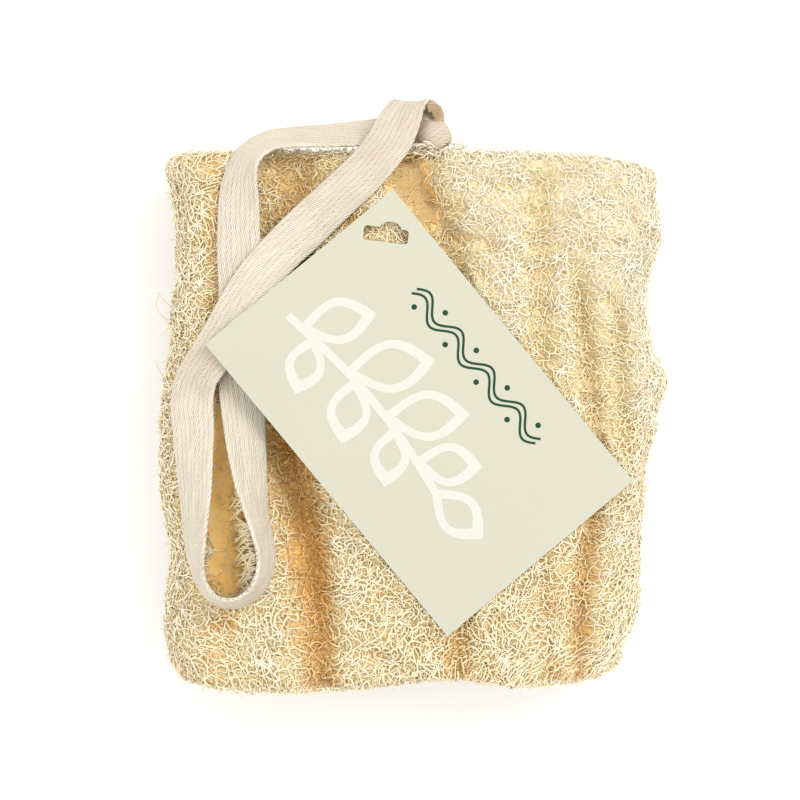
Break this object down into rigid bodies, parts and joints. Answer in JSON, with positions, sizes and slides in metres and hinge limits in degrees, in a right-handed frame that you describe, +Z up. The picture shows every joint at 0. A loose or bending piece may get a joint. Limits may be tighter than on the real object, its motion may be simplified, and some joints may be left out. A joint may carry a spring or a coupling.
{
  "type": "loofah sponge",
  "caption": "Flattened natural loofah sponge pad of ribbed plant fibre with a knotted cotton hanging loop and a small card swing tag lying on top.",
  "frame": {"origin": "middle of the sponge and tag seen from above, on the surface that the sponge rests on", "axes": "+Z up through the pad's thickness, +Y along the fruit's axis to the end that carries the hanging loop, +X across the ribs to the right"},
  "size_m": [0.1172, 0.1353, 0.0422],
  "materials": {
    "loofah_fibre": "dry matt plant fibre, cream on the ribs and golden in the valleys",
    "cotton_tape": "unbleached woven cotton tape with a herringbone weave",
    "tag_card": "uncoated pale cream card with a plain light print"
  },
  "bodies": {
    "root": {"loofah_sponge": "loofah_fibre", "tape_loop": "cotton_tape", "tape_knot": "cotton_tape", "swing_tag": "tag_card"}
  },
  "joints": []
}
